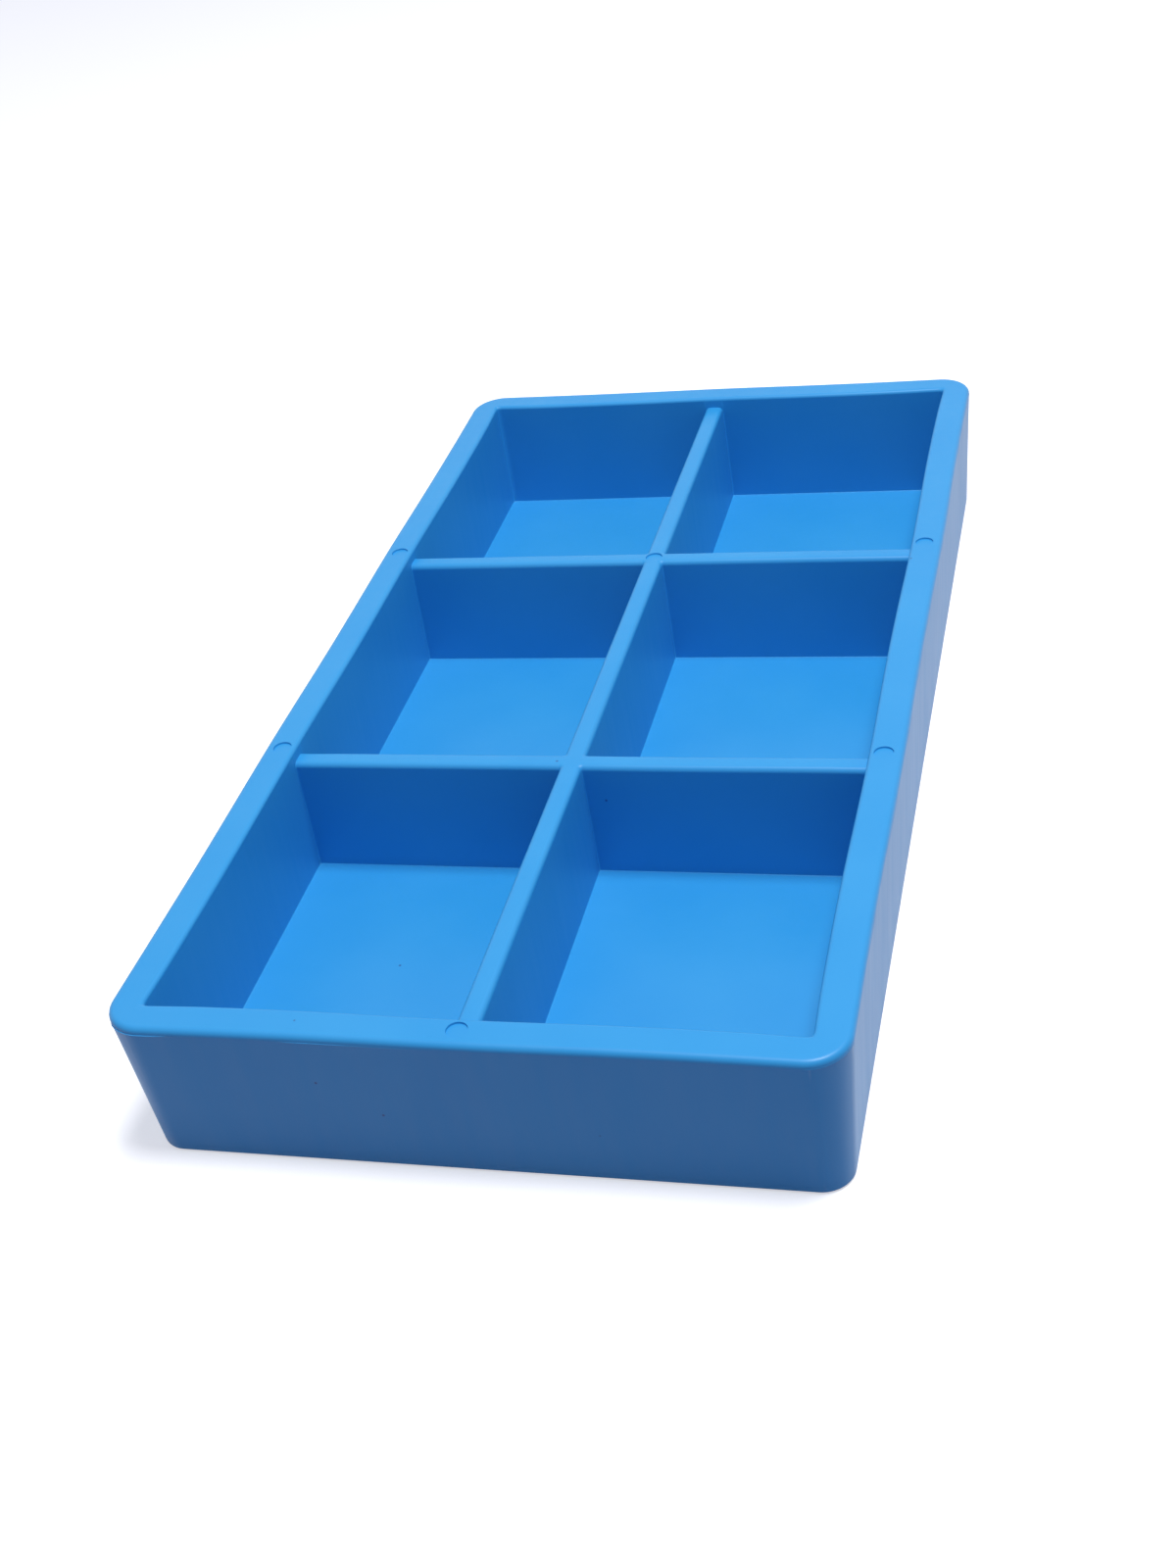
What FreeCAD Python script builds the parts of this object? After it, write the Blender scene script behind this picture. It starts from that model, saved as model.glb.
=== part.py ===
import FreeCAD, Part
import os
from FreeCAD import Vector

# Silicone soap mould: one soft moulding with two rows of three bar cavities.
# Frame: X across the mould, Y along it, +Z up. The origin is the centre of the foot.
# All sizes are in millimetres.

# Driving dimensions
bar_width = 60.0            # cavity, along X
bar_length = 80.0           # cavity, along Y
rows_across = 2
rows_along = 3
wall_thickness = 6.8        # outer wall at the rim
divider_thickness = 4.6
mould_height = 33.0
floor_thickness = 3.0
divider_drop = 2.7          # divider tops sit this far below the rim
foot_inset = 2.3            # outer walls lean in by this much at the foot
corner_radius = 8.2         # upright outer corners, at the rim
rim_outer_radius = 1.2      # rounding of the rim's outer edge
rim_inner_radius = 0.7      # rounding of the rim's mouth edge
divider_top_radius = 1.2    # rounding along both edges of a divider top
foot_edge_radius = 0.5      # rounding where the outer wall meets the foot
pin_mark_radius = 2.0       # round marks that the ejector pins leave
pin_mark_depth = 0.3
pin_mark_setback = 2.9      # from the mouth to the centres of the marks in the rim

# Sizes that follow from them
mouth_width = rows_across * bar_width + (rows_across - 1) * divider_thickness
mouth_length = rows_along * bar_length + (rows_along - 1) * divider_thickness
mould_width = mouth_width + 2 * wall_thickness
mould_length = mouth_length + 2 * wall_thickness
divider_top = mould_height - divider_drop
cross_divider_y = (bar_length + divider_thickness) / 2
margin = 10.0               # how far a cutting solid reaches past what it cuts
level_tolerance = 1e-4


def box_between(low, high):
    size = Vector(high) - Vector(low)
    return Part.makeBox(size.x, size.y, size.z, Vector(low))


def edges_at_level(shape, level, half_width, half_length):
    """Edges that lie at one height, inside a rectangle about the origin."""
    found = []
    for edge in shape.Edges:
        bounds = edge.BoundBox
        level_edge = abs(bounds.ZMin - level) < level_tolerance and abs(bounds.ZMax - level) < level_tolerance
        inside_x = max(abs(bounds.XMin), abs(bounds.XMax)) < half_width + level_tolerance
        inside_y = max(abs(bounds.YMin), abs(bounds.YMax)) < half_length + level_tolerance
        if level_edge and inside_x and inside_y:
            found.append(edge)
    return found


def rounded_outline(width, length, radius, level):
    """A closed rectangle with round corners: four straight sides joined by four arcs."""
    x = width / 2
    y = length / 2
    slant = radius * (1 - 0.5 ** 0.5)
    sides = [
        (Vector(-x + radius, -y, level), Vector(x - radius, -y, level)),
        (Vector(x, -y + radius, level), Vector(x, y - radius, level)),
        (Vector(x - radius, y, level), Vector(-x + radius, y, level)),
        (Vector(-x, y - radius, level), Vector(-x, -y + radius, level)),
    ]
    arc_middles = [
        Vector(x - slant, -y + slant, level),
        Vector(x - slant, y - slant, level),
        Vector(-x + slant, y - slant, level),
        Vector(-x + slant, -y + slant, level),
    ]
    edges = []
    for index, (start, end) in enumerate(sides):
        next_start = sides[(index + 1) % len(sides)][0]
        edges.append(Part.LineSegment(start, end).toShape())
        edges.append(Part.Arc(end, arc_middles[index], next_start).toShape())
    return Part.Wire(edges)


def make_outer_block():
    """The moulding's outside as a closed block: leaning walls, round corners, soft edges."""
    foot = rounded_outline(
        mould_width - 2 * foot_inset, mould_length - 2 * foot_inset, corner_radius - foot_inset, 0.0
    )
    rim = rounded_outline(mould_width, mould_length, corner_radius, mould_height)
    block = Part.makeLoft([foot, rim], True, True)
    block = block.makeFillet(rim_outer_radius, edges_at_level(block, mould_height, mould_width, mould_length))
    return block.makeFillet(foot_edge_radius, edges_at_level(block, 0.0, mould_width, mould_length))


def make_wall_ring(block):
    """The four outer walls in one ring, above the floor, with a rounded mouth edge."""
    mouth = box_between(
        (-mouth_width / 2, -mouth_length / 2, floor_thickness),
        (mouth_width / 2, mouth_length / 2, mould_height + margin),
    )
    tray = block.cut(mouth)
    mouth_edges = edges_at_level(tray, mould_height, mouth_width / 2, mouth_length / 2)
    tray = tray.makeFillet(rim_inner_radius, mouth_edges)
    below_floor_top = box_between(
        (-mould_width, -mould_length, -margin),
        (mould_width, mould_length, floor_thickness),
    )
    return tray.cut(below_floor_top)


def make_floor(block):
    """The base slab under all the walls and dividers."""
    slab_space = box_between(
        (-mould_width, -mould_length, -margin),
        (mould_width, mould_length, floor_thickness),
    )
    return block.common(slab_space)


def make_wall(ring, side_x, side_y):
    """One wall of the ring, mitred at 45 degrees through both of its corners."""
    x = mouth_width / 2
    y = mouth_length / 2
    reach = wall_thickness + margin
    if side_y:
        corners = [
            (-x, side_y * y),
            (x, side_y * y),
            (x + reach, side_y * (y + reach)),
            (-x - reach, side_y * (y + reach)),
        ]
    else:
        corners = [
            (side_x * x, -y),
            (side_x * x, y),
            (side_x * (x + reach), y + reach),
            (side_x * (x + reach), -y - reach),
        ]
    points = [Vector(px, py, 0.0) for px, py in corners]
    outline = Part.makePolygon(points + points[:1])
    sector = Part.Face(outline).extrude(Vector(0, 0, mould_height + margin))
    return ring.common(sector)


def make_divider(start, end):
    """A straight divider between two points on the floor, with both top edges rounded."""
    run = Vector(*end, 0.0) - Vector(*start, 0.0)
    along = Vector(run).normalize()
    across = Vector(-along.y, along.x, 0.0)
    foot = Vector(*start, floor_thickness)
    half = divider_thickness / 2
    shoulder = Vector(0, 0, divider_top - floor_thickness - divider_top_radius)
    crown = Vector(0, 0, divider_top - floor_thickness)
    inset = half - divider_top_radius
    slant = divider_top_radius * (1 - 0.5 ** 0.5)
    arc_middle = crown - Vector(0, 0, slant)
    profile = Part.Wire([
        Part.LineSegment(foot - across * half, foot + across * half).toShape(),
        Part.LineSegment(foot + across * half, foot + across * half + shoulder).toShape(),
        Part.Arc(
            foot + across * half + shoulder,
            foot + across * (half - slant) + arc_middle,
            foot + across * inset + crown,
        ).toShape(),
        Part.LineSegment(foot + across * inset + crown, foot - across * inset + crown).toShape(),
        Part.Arc(
            foot - across * inset + crown,
            foot - across * (half - slant) + arc_middle,
            foot - across * half + shoulder,
        ).toShape(),
        Part.LineSegment(foot - across * half + shoulder, foot - across * half).toShape(),
    ])
    return Part.Face(profile).extrude(run)


def make_pin_marks():
    """Shallow round recesses in the rim, in line with the dividers, and on one crossing."""
    rim_line_x = mouth_width / 2 + pin_mark_setback
    rim_line_y = mouth_length / 2 + pin_mark_setback
    places = [(0.0, -rim_line_y, mould_height), (0.0, cross_divider_y, divider_top)]
    for x in (-rim_line_x, rim_line_x):
        for y in (-cross_divider_y, cross_divider_y):
            places.append((x, y, mould_height))
    marks = []
    for x, y, level in places:
        centre = Vector(x, y, level - pin_mark_depth)
        mark = Part.makeCylinder(pin_mark_radius, pin_mark_depth + margin, centre)
        # the cylinder's seam faces along the wall, clear of the rounded rim edges
        if x:
            mark.rotate(centre, Vector(0, 0, 1), 90)
        marks.append(mark)
    return marks


def make_regions():
    """Every region of the moulding, by name. Neighbours meet face to face."""
    block = make_outer_block()
    ring = make_wall_ring(block)
    regions = {
        "floor": make_floor(block),
        "front_wall": make_wall(ring, 0, -1),
        "rear_wall": make_wall(ring, 0, 1),
        "left_wall": make_wall(ring, -1, 0),
        "right_wall": make_wall(ring, 1, 0),
    }
    long_divider = make_divider((0.0, -mouth_length / 2), (0.0, mouth_length / 2))
    regions["long_divider"] = long_divider
    for end_name, y in (("front", -cross_divider_y), ("rear", cross_divider_y)):
        for side_name, x in (("left", -mouth_width / 2), ("right", mouth_width / 2)):
            # the inner end is coped over the long divider's rounded top, so both tops run flush
            half_divider = make_divider((0.0, y), (x, y)).cut(long_divider)
            regions[end_name + "_" + side_name + "_cross_divider"] = half_divider
    for mark in make_pin_marks():
        for name, shape in regions.items():
            if shape.BoundBox.intersect(mark.BoundBox):
                regions[name] = shape.cut(mark)
    return regions


def main():
    os.makedirs("parts", exist_ok=True)
    for name, shape in make_regions().items():
        if len(shape.Solids) != 1 or not shape.isValid():
            raise RuntimeError(name + " is not one valid solid")
        solid = shape.Solids[0]
        solid.exportStep(os.path.join("parts", name + ".step"))
        print(name, round(solid.Volume / 1000, 2), "cm3")


main()
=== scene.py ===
import math

import bmesh
import bpy
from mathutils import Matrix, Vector, noise


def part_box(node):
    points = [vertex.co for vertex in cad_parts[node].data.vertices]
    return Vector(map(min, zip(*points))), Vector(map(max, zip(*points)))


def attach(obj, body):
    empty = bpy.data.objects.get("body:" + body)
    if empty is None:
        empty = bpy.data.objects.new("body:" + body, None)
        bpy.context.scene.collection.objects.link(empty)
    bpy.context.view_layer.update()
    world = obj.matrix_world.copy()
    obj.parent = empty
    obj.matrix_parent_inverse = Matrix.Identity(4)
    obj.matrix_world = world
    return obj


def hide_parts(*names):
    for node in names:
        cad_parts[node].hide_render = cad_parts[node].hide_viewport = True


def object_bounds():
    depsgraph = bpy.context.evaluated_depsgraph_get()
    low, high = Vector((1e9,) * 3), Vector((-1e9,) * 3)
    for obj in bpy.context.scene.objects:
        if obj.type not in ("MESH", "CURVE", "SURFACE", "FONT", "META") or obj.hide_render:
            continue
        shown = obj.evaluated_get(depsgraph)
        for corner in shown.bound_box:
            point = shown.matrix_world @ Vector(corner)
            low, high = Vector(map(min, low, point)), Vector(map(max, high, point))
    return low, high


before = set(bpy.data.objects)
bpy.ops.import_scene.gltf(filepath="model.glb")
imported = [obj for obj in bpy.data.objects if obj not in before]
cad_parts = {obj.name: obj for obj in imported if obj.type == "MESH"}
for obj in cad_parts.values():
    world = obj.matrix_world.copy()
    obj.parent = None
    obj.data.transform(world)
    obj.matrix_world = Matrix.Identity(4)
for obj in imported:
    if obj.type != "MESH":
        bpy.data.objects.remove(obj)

mm = 0.001
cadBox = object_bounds()
print("frame loaded,", len(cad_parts), "nodes")


def hexToLinear(hexColour, alpha=1.0):
    parts = [int(hexColour[i:i + 2], 16) / 255 for i in (1, 3, 5)]
    return tuple(p / 12.92 if p <= 0.04045 else ((p + 0.055) / 1.055) ** 2.4 for p in parts) + (alpha,)


def addNode(tree, kind, settings=None, links=None):
    # settings are the node's own properties or its input values, links are (input, other node, output)
    node = tree.nodes.new(kind)
    for key, value in (settings or {}).items():
        if isinstance(key, str) and hasattr(node, key):
            setattr(node, key, value)
        else:
            node.inputs[key].default_value = value
    for inputKey, other, outputKey in links or []:
        tree.links.new(other.outputs[outputKey], node.inputs[inputKey])
    return node


def smoothStep(low, high, value):
    t = min(max((value - low) / (high - low), 0.0), 1.0)
    return t * t * (3 - 2 * t)


def nodeBox(name):
    # a node's lowest and highest corner, in millimetres
    low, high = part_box(name)
    return low / mm, high / mm


boxLow, boxHigh = cadBox[0] / mm, cadBox[1] / mm
mouthHalf = (nodeBox("right_wall")[0].x, nodeBox("rear_wall")[0].y)
dividerHalf = nodeBox("long_divider")[1].x
dividerTop = nodeBox("long_divider")[1].z
floorTop = nodeBox("floor")[1].z
rimTop = boxHigh.z
wallReach = boxHigh.x - mouthHalf[0]          # from the mouth to the outermost point of the rim
crossLines = sorted(
    sum(corner.y for corner in nodeBox(name)) / 2
    for name in ("front_left_cross_divider", "rear_left_cross_divider")
)

mouldForm = {
    "rimOuterRadius": 1.2,      # mm, rounding of the rim's outer edge
    "mouthRadius": 0.9,         # mm, rounding of the rim's inner edge
    "dividerRadius": 1.2,       # mm, rounding along the divider tops
    "floorRadius": 0.22,        # mm, tool radius where the floor meets a wall
    "footInset": 2.3,           # mm, how far the outer wall leans in at the foot
    "footRadius": 0.5,
    "uprightRadius": 0.3,       # mm, upright corners inside the cavities
    "cornerCentre": 1.4,        # mm, centre of the outer corner arcs, in from the mouth
    "mouthRoundness": 0.6,      # 0 is a sharp mouth corner, 1 a full arc
    "floorStep": 3.2,           # mm, mesh spacing across the floors
    "wallRows": 6,
    "arcSteps": 5,
}

# mm that every soft wall leans inwards at the rim, and how much more between two supports
wallLean = {
    "mouth": 0.6,
    "mouthBow": 0.35,
    "outer": 0.2,
    "outerBow": 0.25,
}

mouldSag = {
    "dividerWander": 0.2,       # mm, sideways wander of the thin dividers
    "ripple": 0.1,              # mm, slow unevenness of every soft face
    "rippleLength": 34.0,
    "flashHeight": 0.16,        # mm, the broken fin left where the two tool halves met
    "seed": 7.3,
}


def spread(start, end, count):
    # count points between two values, without the ends
    return [start + (end - start) * (i + 1) / (count + 1) for i in range(count)]


def barHalf(edge, inward, top, radius, flatWidth, flatCount):
    # from the middle of a bar's flat top, over its rounded edge and down to the floor
    form = mouldForm
    steps = form["arcSteps"]
    stations = [(edge - inward * (radius + flatWidth), top)]
    stations += [(edge - inward * p, top) for p in spread(radius + flatWidth, radius, flatCount)]
    for i in range(steps + 1):
        turn = math.pi / 2 * i / steps
        stations.append((edge - inward * radius * (1 - math.sin(turn)), top - radius * (1 - math.cos(turn))))
    foot = floorTop + form["floorRadius"]
    stations += [(edge, z) for z in spread(top - radius, foot, form["wallRows"])]
    for i in range(4):
        turn = math.pi / 2 * i / 3
        stations.append((
            edge + inward * form["floorRadius"] * (1 - math.cos(turn)),
            foot - form["floorRadius"] * math.sin(turn),
        ))
    return stations


def floorStations(low, high):
    # close to the walls the points stand nearer together, so that the upright corners can be round
    margin = mouldForm["cornerCentre"]
    near = [0.22, 0.3, 0.6, 1.0, margin]
    count = round((high - low - 2 * margin) / mouldForm["floorStep"])
    middle = spread(low + margin, high - margin, count)
    return [low + n for n in near] + middle + [high - n for n in reversed(near)]


def profileAcross(half, lines):
    # the section across the whole mould: rim, cavity, divider, cavity, ..., rim
    form = mouldForm
    rimFlat = wallReach - form["rimOuterRadius"] - form["mouthRadius"]
    dividerFlat = dividerHalf - form["dividerRadius"]
    stations = barHalf(-half, 1, rimTop, form["mouthRadius"], rimFlat, 3)
    cavityStart = -half
    for line in lines:
        rising = barHalf(line - dividerHalf, -1, dividerTop, form["dividerRadius"], dividerFlat, 0)
        falling = barHalf(line + dividerHalf, 1, dividerTop, form["dividerRadius"], dividerFlat, 0)
        stations += [(p, floorTop) for p in floorStations(cavityStart, line - dividerHalf)]
        stations += list(reversed(rising)) + falling[1:]
        cavityStart = line + dividerHalf
    stations += [(p, floorTop) for p in floorStations(cavityStart, half)]
    stations += list(reversed(barHalf(half, -1, rimTop, form["mouthRadius"], rimFlat, 3)))
    return stations


def cavityCorners():
    # (corner x, corner y, side x, side y, on the mouth's own corner) for every cavity
    edgesX = [-mouthHalf[0], -dividerHalf, dividerHalf, mouthHalf[0]]
    edgesY = [-mouthHalf[1]]
    for line in crossLines:
        edgesY += [line - dividerHalf, line + dividerHalf]
    edgesY.append(mouthHalf[1])
    corners = []
    for i, x in enumerate(edgesX):
        for j, y in enumerate(edgesY):
            sideX = 1 if i % 2 else -1
            sideY = 1 if j % 2 else -1
            isMouth = i in (0, len(edgesX) - 1) and j in (0, len(edgesY) - 1)
            corners.append((x, y, sideX, sideY, isMouth))
    return corners


def roundCorner(point, corner):
    # turns the square rings about an upright corner into round ones
    form = mouldForm
    cornerX, cornerY, sideX, sideY, isMouth = corner
    radius = form["cornerCentre"] if isMouth else form["uprightRadius"]
    px = sideX * (point.x - cornerX) + radius
    py = sideY * (point.y - cornerY) + radius
    ring = max(px, py)
    if px <= 0 or py <= 0:
        return point
    if isMouth:
        start = form["mouthRoundness"]
        strength = start + (1 - start) * smoothStep(radius + form["mouthRadius"], radius + 2.6, ring)
    else:
        reach = radius + form["dividerRadius"]
        if ring > radius + dividerHalf:
            return point
        strength = 1 - smoothStep(reach, radius + dividerHalf, ring)
        atWall = abs(cornerX) > mouthHalf[0] - 1 or abs(cornerY) > mouthHalf[1] - 1
        if atWall:
            strength *= 1 - smoothStep(dividerTop - form["dividerRadius"], dividerTop, point.z)
    scale = 1 + strength * (ring / math.hypot(px, py) - 1)
    return Vector((
        cornerX + sideX * (px * scale - radius),
        cornerY + sideY * (py * scale - radius),
        point.z,
    ))


def outerProfile():
    # (distance out from the mouth, height, fin height) from the rim's flat, over the edge, to the foot
    form = mouldForm
    lean = math.atan(form["footInset"] / rimTop)
    radius = form["rimOuterRadius"]
    centre = wallReach - radius
    steps = 6
    rows = []
    for i in range(1, steps + 1):
        turn = (math.pi / 2 + lean) * i / steps
        rows.append((centre + radius * math.sin(turn), rimTop - radius * (1 - math.cos(turn)), 0.0))
    startOut, startZ, _ = rows[-1]
    footZ = form["footRadius"]
    # the close rows carry the fine fin where the tool halves met
    for drop, fin in ((0.08, 0.0), (0.17, 1.0), (0.24, 1.0), (0.34, 0.0)):
        rows.append((startOut - drop * math.tan(lean), startZ - drop, fin))
    for z in spread(startZ - 0.34, footZ, 8) + [footZ]:
        rows.append((startOut - (startZ - z) * math.tan(lean), z, 0.0))
    endOut = rows[-1][0]
    for i in range(1, 4):
        turn = math.pi / 2 * i / 3
        rows.append((endOut - footZ * (1 - math.cos(turn)), footZ * (1 - math.sin(turn)), 0.0))
    return rows


def softWave(x, y, z, length, salt):
    place = Vector((x, y, z)) / length + Vector((salt, mouldSag["seed"], -salt))
    return noise.noise(place)


def finAt(x, y):
    # the fin comes and goes; it shows most near the front left corner
    broken = smoothStep(0.02, 0.16, softWave(x, y, 0, 11, 3.0) + 0.35 * softWave(x, y, 0, 2.5, 6.0))
    corner = 1 - smoothStep(12, 55, math.hypot(x + mouthHalf[0], y + mouthHalf[1]))
    return mouldSag["flashHeight"] * (0.35 + 0.65 * corner) * broken


def bow(position, supports):
    # a smooth swell between each pair of supports, nothing at the supports
    for low, high in zip(supports, supports[1:]):
        if low <= position <= high:
            return math.sin(math.pi * (position - low) / (high - low)) ** 2
    return 0.0


def leanAt(along, supports, depth, height):
    # how far one wall has moved in at a point: depth runs from the mouth face (0) to the outer face (1)
    wall = wallLean
    swell = bow(along, supports)
    ends = smoothStep(0, 20, min(along - supports[0], supports[-1] - along))
    mouth = (wall["mouth"] * (0.35 + 0.65 * ends) + wall["mouthBow"] * swell) * height
    outer = (wall["outer"] + wall["outerBow"] * swell) * height
    return mouth * (1 - depth) + outer * depth


def soften(point):
    # what makes it rubber: walls lean in between their supports, dividers wander, faces ripple
    sag = mouldSag
    height = min(max(point.z / rimTop, 0.0), 1.0)
    moved = Vector(point)
    nearX = smoothStep(mouthHalf[0] - 14, mouthHalf[0], abs(point.x))
    nearY = smoothStep(mouthHalf[1] - 14, mouthHalf[1], abs(point.y))
    depthX = min(max((abs(point.x) - mouthHalf[0]) / wallReach, 0.0), 1.0)
    depthY = min(max((abs(point.y) - mouthHalf[1]) / wallReach, 0.0), 1.0)
    insideHeight = min(max((point.z - floorTop) / (rimTop - floorTop), 0.0), 1.0)
    heightX = height if depthX > 0 else insideHeight
    heightY = height if depthY > 0 else insideHeight
    longSupports = [boxLow.y] + crossLines + [boxHigh.y]
    endSupports = [boxLow.x, 0.0, boxHigh.x]
    moved.x -= math.copysign(1, point.x) * leanAt(point.y, longSupports, depthX, heightX) * nearX
    moved.y -= math.copysign(1, point.y) * leanAt(point.x, endSupports, depthY, heightY) * nearY
    inside = (1 - nearX) * (1 - nearY)
    moved.x += sag["dividerWander"] * softWave(point.y, 0, 0, 45, 5.0) * height * inside
    moved.y += sag["dividerWander"] * softWave(point.x, point.y, 0, 45, 9.0) * height * inside
    ripple = 0.5 - 0.5 * softWave(point.x, point.y, point.z, sag["rippleLength"], 1.0)
    moved.x -= math.copysign(1, point.x) * sag["ripple"] * ripple * nearX * height
    moved.y -= math.copysign(1, point.y) * sag["ripple"] * ripple * nearY * height
    if point.z > floorTop:
        sink = 0.5 - 0.5 * softWave(point.x, point.y, 0, 26, 4.0)
        edge = max(nearX, nearY)
        moved.z -= sag["ripple"] * sink * smoothStep(dividerTop - 6, dividerTop, point.z) * (0.4 + 0.6 * edge)
    return moved


def buildMould():
    sections = [profileAcross(mouthHalf[0], [0.0]), profileAcross(mouthHalf[1], crossLines)]
    corners = cavityCorners()
    form = bmesh.new()
    grid = []
    for x, zx in sections[0]:
        column = []
        for y, zy in sections[1]:
            point = Vector((x, y, max(zx, zy)))
            for corner in corners:
                point = roundCorner(point, corner)
            column.append(form.verts.new(point))
        grid.append(column)
    for left, right in zip(grid, grid[1:]):
        for j in range(len(left) - 1):
            form.faces.new((left[j], right[j], right[j + 1], left[j + 1]))
    bmesh.ops.remove_doubles(form, verts=form.verts, dist=1e-4)
    bmesh.ops.dissolve_degenerate(form, edges=form.edges, dist=1e-4)
    print("inside surface:", len(form.faces), "faces")

    # the outside grows from the rim's flat, row by row, along each point's own way out
    rim = {v for e in form.edges if e.is_boundary for v in e.verts}
    inset = mouldForm["cornerCentre"]
    startOut = wallReach - mouldForm["rimOuterRadius"]
    wayOut = {}
    home = {}
    for v in rim:
        px = abs(v.co.x) - (mouthHalf[0] - inset)
        py = abs(v.co.y) - (mouthHalf[1] - inset)
        if px > 1e-6 and py > 1e-6:
            away = Vector((math.copysign(px, v.co.x), math.copysign(py, v.co.y), 0)).normalized()
        elif px >= inset:
            away = Vector((math.copysign(1, v.co.x), 0, 0))
        else:
            away = Vector((0, math.copysign(1, v.co.y), 0))
        wayOut[v] = away
        home[v] = Vector((v.co.x, v.co.y, 0))
    edgeRing = [e for e in form.edges if e.is_boundary]
    for out, z, fin in outerProfile():
        grown = bmesh.ops.extrude_edge_only(form, edges=edgeRing)["geom"]
        freshVerts = [g for g in grown if isinstance(g, bmesh.types.BMVert)]
        fresh = set(freshVerts)
        for v in freshVerts:
            old = next(e.other_vert(v) for e in v.link_edges if e.other_vert(v) not in fresh)
            wayOut[v] = wayOut[old]
            home[v] = home[old]
            reach = out - startOut + fin * finAt(home[v].x, home[v].y)
            v.co = home[v] + wayOut[v] * reach
            v.co.z = z
        edgeRing = [g for g in grown if isinstance(g, bmesh.types.BMEdge)]
    bmesh.ops.holes_fill(form, edges=[e for e in form.edges if e.is_boundary], sides=0)
    for v in form.verts:
        v.co = soften(v.co) * mm
    bmesh.ops.recalc_face_normals(form, faces=form.faces)
    mesh = bpy.data.meshes.new("siliconeMould")
    form.to_mesh(mesh)
    form.free()
    mould = bpy.data.objects.new("siliconeMould", mesh)
    bpy.context.scene.collection.objects.link(mould)
    print("mould skin:", len(mesh.polygons), "faces")
    return mould


# mm, the six ejector pins' round faces, in line with the dividers
pinMarks = {
    "radius": 2.0,
    "depth": 0.4,
    "setback": 2.9,             # from the mouth to the centres of the marks in the rim
    "sides": 64,
}


def cutPinMarks(mould):
    # every pin left a shallow round recess; the cutters are slightly tapered plugs
    marks = pinMarks
    lineX, lineY = (half + marks["setback"] for half in mouthHalf)
    places = [(0.0, -lineY, rimTop), (0.0, crossLines[1], dividerTop)]
    places += [(x, y, rimTop) for x in (-lineX, lineX) for y in crossLines]
    plugs = bmesh.new()
    for x, y, top in places:
        surface = soften(Vector((x, y, top)))
        height = 4.0
        made = bmesh.ops.create_cone(
            plugs, cap_ends=True, segments=marks["sides"],
            radius1=(marks["radius"] - 0.04) * mm, radius2=(marks["radius"] + 0.5) * mm, depth=height * mm,
        )
        middle = Vector((surface.x, surface.y, surface.z - marks["depth"] + height / 2)) * mm
        bmesh.ops.translate(plugs, verts=made["verts"], vec=middle)
    mesh = bpy.data.meshes.new("pinPlugs")
    plugs.to_mesh(mesh)
    plugs.free()
    cutter = bpy.data.objects.new("pinPlugs", mesh)
    bpy.context.scene.collection.objects.link(cutter)
    cut = mould.modifiers.new("pinMarks", "BOOLEAN")
    cut.operation = "DIFFERENCE"
    cut.object = cutter
    cut.solver = "EXACT"
    bpy.context.view_layer.update()
    depsgraph = bpy.context.evaluated_depsgraph_get()
    result = bpy.data.meshes.new_from_object(mould.evaluated_get(depsgraph))
    mould.modifiers.clear()
    mould.data = result
    bpy.data.objects.remove(cutter)
    print("pin marks cut:", len(places))


def finishSkin(mould):
    mesh = mould.data
    mesh.polygons.foreach_set("use_smooth", [True] * len(mesh.polygons))
    mesh.set_sharp_from_angle(angle=math.radians(42))
    # keeps the flats flat up to the start of each rounded edge
    weighted = mould.modifiers.new("flatNormals", "WEIGHTED_NORMAL")
    weighted.keep_sharp = True
    weighted.weight = 60


silicone = {
    "colour": "#2B93D1",        # sky-blue pigment, deeper where the light has bounced between walls
    "paleColour": "#3297D3",    # slow pale clouds where the pigment is thinner
    "dustColour": "#245C98",    # tiny dark specks pressed into the skin
    "roughness": 0.42,
    "cloudSize": 30.0,          # mm
    "grain": 0.3,               # mm, the tool's satin grain, drawn coarser than the real 0.05 so that it shows
    "speckSpacing": 13.0,       # mm between places where a speck may sit
    "streakWidth": 2.2,         # mm, upright drag marks on the outer sides
}


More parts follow.
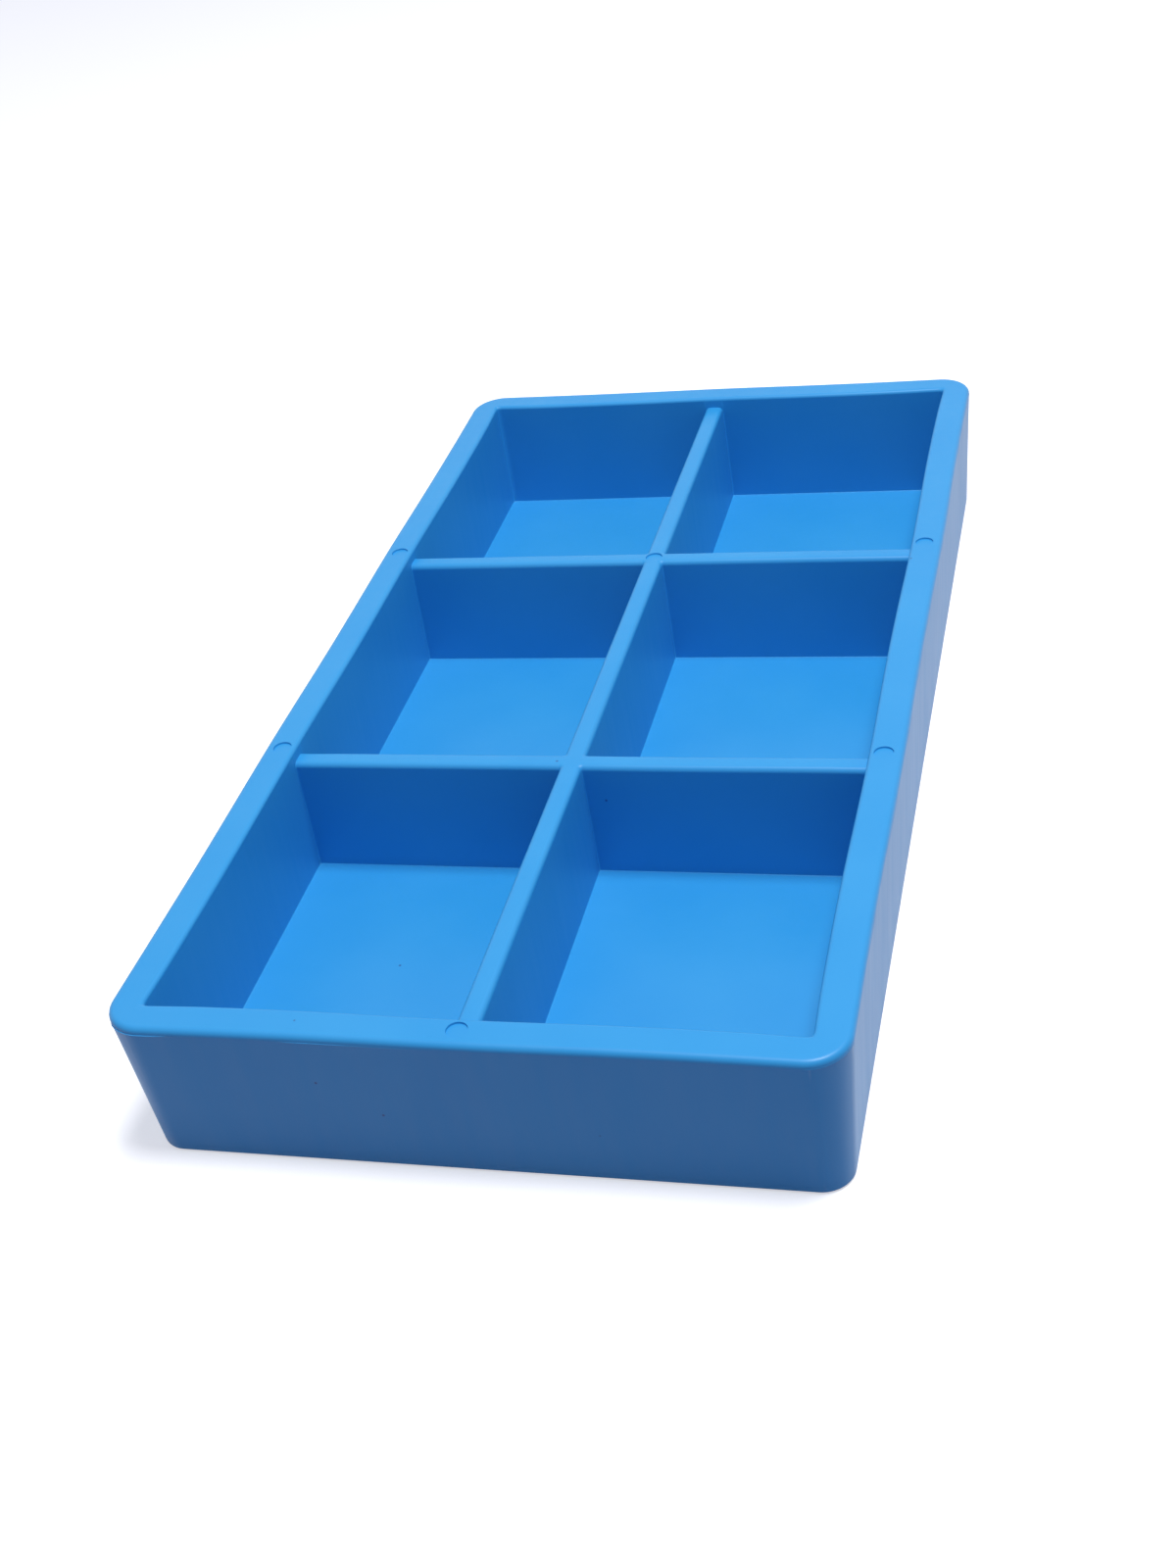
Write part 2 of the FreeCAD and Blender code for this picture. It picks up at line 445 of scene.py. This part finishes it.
def siliconeRubber():
    # moulded silicone rubber: soft satin sheen, pale at glancing angles, a fine even grain from the tool
    material = bpy.data.materials.new("mouldedSiliconeRubber")
    material.use_nodes = True
    tree = material.node_tree
    tree.nodes.clear()
    place = addNode(tree, "ShaderNodeTexCoord")
    clouds = addNode(tree, "ShaderNodeTexNoise", {
        "Scale": 1 / (silicone["cloudSize"] * mm), "Detail": 3.0, "Roughness": 0.5,
    }, [("Vector", place, "Object")])
    cloudMask = addNode(tree, "ShaderNodeMapRange", {
        "From Min": 0.35, "From Max": 0.7, "To Min": 0.0, "To Max": 1.0,
    }, [("Value", clouds, "Fac")])
    colour = addNode(tree, "ShaderNodeMix", {"data_type": "RGBA"}, [(0, cloudMask, "Result")])
    colour.inputs[6].default_value = hexToLinear(silicone["colour"])
    colour.inputs[7].default_value = hexToLinear(silicone["paleColour"])

    # a speck is the small middle of a cell, and only a few cells have one
    cells = addNode(tree, "ShaderNodeTexVoronoi", {
        "Scale": 1 / (silicone["speckSpacing"] * mm), "Randomness": 1.0,
    }, [("Vector", place, "Object")])
    chosen = addNode(tree, "ShaderNodeSeparateColor", None, [("Color", cells, "Color")])
    fewCells = addNode(tree, "ShaderNodeMath", {"operation": "GREATER_THAN", 1: 0.45}, [(0, chosen, "Red")])
    speckSize = addNode(tree, "ShaderNodeMapRange", {
        "From Min": 0.016, "From Max": 0.027, "To Min": 1.0, "To Max": 0.0,
    }, [("Value", cells, "Distance")])
    speck = addNode(tree, "ShaderNodeMath", {"operation": "MULTIPLY"}, [
        (0, fewCells, "Value"), (1, speckSize, "Result"),
    ])
    dusted = addNode(tree, "ShaderNodeMix", {"data_type": "RGBA"}, [(0, speck, "Value"), (6, colour, 2)])
    dusted.inputs[7].default_value = hexToLinear(silicone["dustColour"])

    # drag marks run up and down, so they are squeezed sideways and stretched along Z
    squeeze = addNode(tree, "ShaderNodeMapping", {"Scale": (1.0, 1.0, 0.05)}, [("Vector", place, "Object")])
    streaks = addNode(tree, "ShaderNodeTexNoise", {
        "Scale": 1 / (silicone["streakWidth"] * mm), "Detail": 3.0, "Roughness": 0.6,
    }, [("Vector", squeeze, "Vector")])
    roughness = addNode(tree, "ShaderNodeMapRange", {
        "From Min": 0.3, "From Max": 0.7,
        "To Min": silicone["roughness"] - 0.03, "To Max": silicone["roughness"] + 0.03,
    }, [("Value", streaks, "Fac")])
    grain = addNode(tree, "ShaderNodeTexNoise", {
        "Scale": 1 / (silicone["grain"] * mm), "Detail": 2.0, "Roughness": 0.5,
    }, [("Vector", place, "Object")])
    grainBump = addNode(tree, "ShaderNodeBump", {"Strength": 0.16, "Distance": 0.02 * mm}, [("Height", grain, "Fac")])
    shader = addNode(tree, "ShaderNodeBsdfPrincipled", {"IOR": 1.41}, [
        ("Base Color", dusted, 2), ("Roughness", roughness, "Result"), ("Normal", grainBump, "Normal"),
    ])
    addNode(tree, "ShaderNodeOutputMaterial", None, [("Surface", shader, "BSDF")])
    return material


studio = {
    "floorColour": "#D8D8DA",
    "bounceColour": "#666C88",  # what the floor gives back to the mould's own colour
    "floorGlow": 0.55,
    "floorSize": 3.0,           # m
    "skyColour": "#D6DEFF",
    "skyLevel": 0.36,
}


def seenOrMirrored(tree):
    # 1 for rays that show the studio itself, 0 for rays that only carry its light
    path = addNode(tree, "ShaderNodeLightPath")
    direct = addNode(tree, "ShaderNodeMath", {"operation": "MAXIMUM"}, [
        (0, path, "Is Camera Ray"), (1, path, "Is Transmission Ray"),
    ])
    return addNode(tree, "ShaderNodeMath", {"operation": "MAXIMUM"}, [
        (0, direct, "Value"), (1, path, "Is Glossy Ray"),
    ])


def paleFloor():
    # seen directly or mirrored it is white, and it keeps the mould's own shadow
    size = studio["floorSize"]
    floorMesh = bmesh.new()
    bmesh.ops.create_grid(floorMesh, x_segments=1, y_segments=1, size=size)
    mesh = bpy.data.meshes.new("studioFloor")
    floorMesh.to_mesh(mesh)
    floorMesh.free()
    floor = bpy.data.objects.new("studioFloor", mesh)
    floor.location.z = cadBox[0].z - 0.0002
    bpy.context.scene.collection.objects.link(floor)
    material = bpy.data.materials.new("studioPaper")
    material.use_nodes = True
    tree = material.node_tree
    tree.nodes.clear()
    seen = seenOrMirrored(tree)
    paper = addNode(tree, "ShaderNodeBsdfDiffuse", {"Color": hexToLinear(studio["floorColour"])})
    bounce = addNode(tree, "ShaderNodeBsdfDiffuse", {"Color": hexToLinear(studio["bounceColour"])})
    glow = addNode(tree, "ShaderNodeEmission", {"Color": (1, 1, 1, 1), "Strength": studio["floorGlow"]})
    lift = addNode(tree, "ShaderNodeAddShader", None, [(0, paper, "BSDF"), (1, glow, "Emission")])
    mixed = addNode(tree, "ShaderNodeMixShader", None, [
        (0, seen, "Value"), (1, bounce, "BSDF"), (2, lift, "Shader"),
    ])
    addNode(tree, "ShaderNodeOutputMaterial", None, [("Surface", mixed, "Shader")])
    mesh.materials.append(material)
    return floor


def studioWorld():
    # white where it is seen or mirrored, and a low cool fill for everything else
    world = bpy.data.worlds.new("studioWorld")
    bpy.context.scene.world = world
    world.use_nodes = True
    tree = world.node_tree
    tree.nodes.clear()
    seen = seenOrMirrored(tree)
    fill = addNode(tree, "ShaderNodeBackground", {
        "Color": hexToLinear(studio["skyColour"]), "Strength": studio["skyLevel"],
    })
    white = addNode(tree, "ShaderNodeBackground", {"Color": (1, 1, 1, 1), "Strength": 1.0})
    mixed = addNode(tree, "ShaderNodeMixShader", None, [
        (0, seen, "Value"), (1, fill, "Background"), (2, white, "Background"),
    ])
    addNode(tree, "ShaderNodeOutputWorld", None, [("Surface", mixed, "Shader")])


def softBox(name, place, aim, size, power):
    lamp = bpy.data.lights.new(name, "AREA")
    lamp.shape = "RECTANGLE"
    lamp.size, lamp.size_y = size
    lamp.energy = power
    lampObject = bpy.data.objects.new(name, lamp)
    lampObject.location = place
    lampObject.rotation_euler = (Vector(aim) - Vector(place)).to_track_quat("-Z", "Y").to_euler()
    bpy.context.scene.collection.objects.link(lampObject)
    return lampObject


viewpoint = {
    "azimuth": 19.2451,         # degrees round from the front, towards the right side
    "elevation": 34.6502,
    "roll": -10.4914,
    "place": (0.114995, -0.364647, 0.260176),
    "lens": 45.5608,            # mm on a 36 mm frame height
}


def setCamera():
    azimuth = math.radians(viewpoint["azimuth"])
    elevation = math.radians(viewpoint["elevation"])
    roll = math.radians(viewpoint["roll"])
    back = Vector((
        math.sin(azimuth) * math.cos(elevation), -math.cos(azimuth) * math.cos(elevation), math.sin(elevation)
    ))
    right = (-back).cross(Vector((0, 0, 1))).normalized()
    up = back.cross(right)
    turnedRight = right * math.cos(roll) + up * math.sin(roll)
    turnedUp = up * math.cos(roll) - right * math.sin(roll)
    camera = bpy.data.objects.new("camera", bpy.data.cameras.new("camera"))
    camera.data.sensor_width = 36.0
    camera.data.lens = viewpoint["lens"]
    camera.data.clip_start = 0.01
    matrix = camera.matrix_world.copy()
    for row in range(3):
        matrix[row][0] = turnedRight[row]
        matrix[row][1] = turnedUp[row]
        matrix[row][2] = back[row]
        matrix[row][3] = viewpoint["place"][row]
    camera.matrix_world = matrix
    bpy.context.scene.collection.objects.link(camera)
    bpy.context.scene.camera = camera


setCamera()
mould = buildMould()
cutPinMarks(mould)
finishSkin(mould)
mould.data.materials.clear()
mould.data.materials.append(siliconeRubber())
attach(mould, "root")
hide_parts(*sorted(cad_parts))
print("mould placed")

paleFloor()
studioWorld()
softBox("overheadSoftBox", (0.23, -0.06, 1.15), (0, 0, 0), (0.32, 0.32), 13.0)
print("studio ready")

bpy.context.scene.view_settings.view_transform = "Standard"
